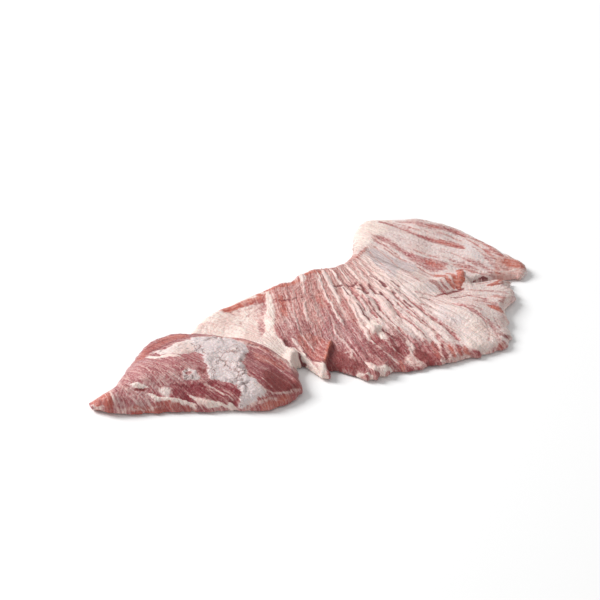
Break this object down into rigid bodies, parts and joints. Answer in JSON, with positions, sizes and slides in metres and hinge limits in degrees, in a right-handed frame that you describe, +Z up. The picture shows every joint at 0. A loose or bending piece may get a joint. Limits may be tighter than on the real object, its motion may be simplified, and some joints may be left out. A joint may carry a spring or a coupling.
{
  "type": "raw iberian pork secreto",
  "caption": "Whole raw cut of marbled pork laid flat: a thick pointed lobe, a bridge of white fat, a wide striped fan and a far lobe parted from it by a torn cleft.",
  "frame": {"origin": "on the surface the cut lies on, under the middle of its bounding box", "axes": "+X along the cut from the pointed tip to the far lobe, +Y from the torn fringe to the root edge, +Z up"},
  "size_m": [0.3831, 0.2, 0.0211],
  "materials": {
    "meat": "moist raw pork, rose lean with cream-white fat seams"
  },
  "bodies": {
    "root": {"secreto": "meat"}
  },
  "joints": []
}
